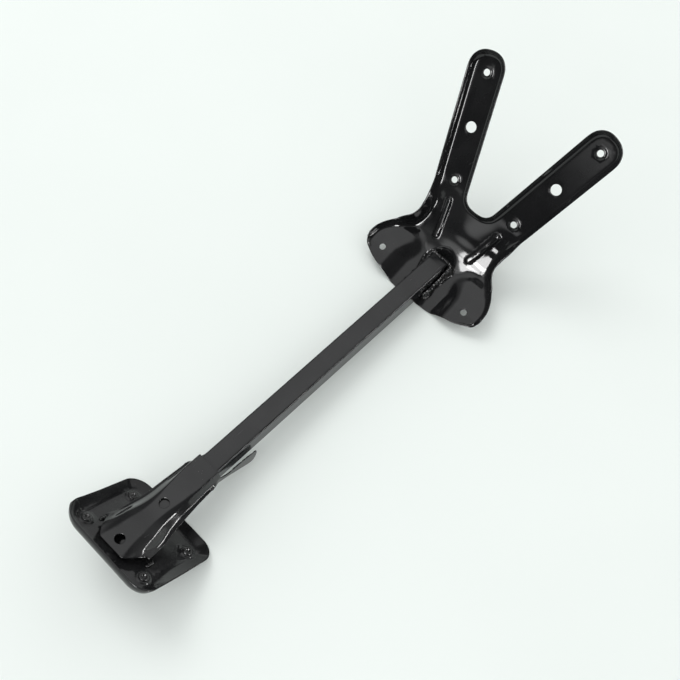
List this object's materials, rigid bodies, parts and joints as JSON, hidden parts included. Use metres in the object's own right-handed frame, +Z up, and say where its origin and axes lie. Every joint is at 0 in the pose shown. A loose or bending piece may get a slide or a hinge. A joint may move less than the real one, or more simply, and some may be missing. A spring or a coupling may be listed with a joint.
{
  "type": "license plate bracket",
  "caption": "Welded steel bracket: square tube arm with a forked, up-turned yoke plate at one end and a tilted base pan under a saddle cover at the other.",
  "frame": {"origin": "centre of the bounding box's bottom, on the surface the bracket lies on", "axes": "+X along the tube toward the fork, +Y across the bracket toward its left prong seen from the base, +Z up"},
  "size_m": [0.5628, 0.1778, 0.1753],
  "materials": {
    "yoke_plate": "gloss black paint",
    "tube_arm": "gloss black paint",
    "base_pan": "gloss black paint",
    "saddle_cover": "gloss black paint",
    "yoke_weld": "gloss black paint over weld",
    "saddle_weld_left": "gloss black paint over weld",
    "saddle_weld_right": "gloss black paint over weld"
  },
  "bodies": {
    "root": {"yoke_plate": "yoke_plate", "tube_arm": "tube_arm", "base_pan": "base_pan", "saddle_cover": "saddle_cover", "yoke_weld": "yoke_weld", "saddle_weld_left": "saddle_weld_left", "saddle_weld_right": "saddle_weld_right"}
  },
  "joints": []
}
